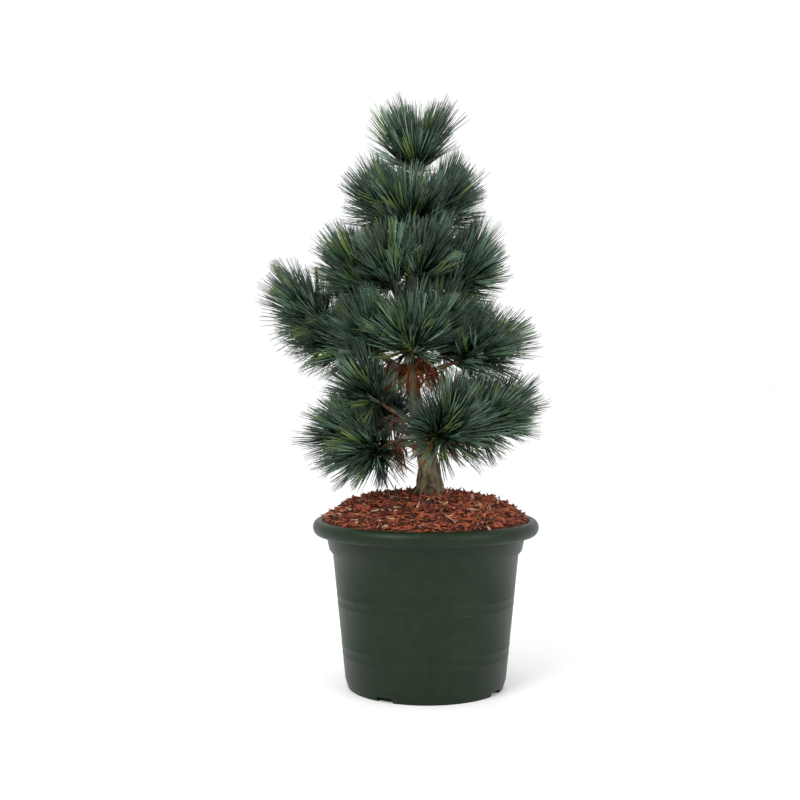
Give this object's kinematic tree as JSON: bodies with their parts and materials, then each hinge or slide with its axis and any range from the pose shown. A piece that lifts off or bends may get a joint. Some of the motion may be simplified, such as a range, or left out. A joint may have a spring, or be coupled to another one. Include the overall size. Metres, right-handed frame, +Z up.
{
  "type": "potted swiss stone pine",
  "caption": "Young conifer with a leaning tapered trunk and whorls of upswept boughs in dense needles, growing from bark mulch in a round tapered nursery pot.",
  "frame": {"origin": "centre of the pot's flat underside, on the surface that it stands on", "axes": "+Z up along the trunk; -Y towards the side seen in the picture, +X to its right"},
  "size_m": [0.3948, 0.3146, 0.8023],
  "materials": {
    "pot": "moulded dark green polypropylene, satin",
    "mulch": "shredded red-brown bark, matte",
    "bark": "rough grey-brown bark",
    "needles": "waxy blue-green needles"
  },
  "bodies": {
    "root": {"pot": "pot", "soil": "mulch", "trunk": "bark", "surface_root": "bark", "bough_low_right": "bark", "bough_low_front_right": "bark", "bough_low_front_left": "bark", "bough_low_left": "bark", "bough_low_left_up": "bark", "bough_low_back_right": "bark", "bough_low_back_left": "bark", "bough_far_left": "bark", "bough_mid_left": "bark", "bough_mid_front": "bark", "bough_mid_right": "bark", "bough_mid_right_up": "bark", "bough_mid_back_right": "bark", "bough_mid_back": "bark", "bough_mid_back_left": "bark", "bough_high_left": "bark", "bough_high_front_left": "bark", "bough_high_front": "bark", "bough_high_right": "bark", "bough_high_back_right": "bark", "bough_high_back_left": "bark", "foliage_low_right": "needles", "foliage_low_front_right": "needles", "foliage_low_front_left": "needles", "foliage_low_left": "needles", "foliage_low_left_up": "needles", "foliage_low_back_right": "needles", "foliage_low_back_left": "needles", "foliage_far_left": "needles", "foliage_mid_left": "needles", "foliage_mid_front": "needles", "foliage_mid_right": "needles", "foliage_mid_right_up": "needles", "foliage_mid_back_right": "needles", "foliage_mid_back": "needles", "foliage_mid_back_left": "needles", "foliage_high_left": "needles", "foliage_high_front_left": "needles", "foliage_high_front": "needles", "foliage_high_right": "needles", "foliage_high_back_right": "needles", "foliage_high_back_left": "needles", "foliage_top_left": "needles", "foliage_top_front": "needles", "foliage_top_right": "needles", "foliage_top_back_right": "needles", "foliage_top_back_left": "needles", "foliage_leader": "needles"}
  },
  "joints": []
}
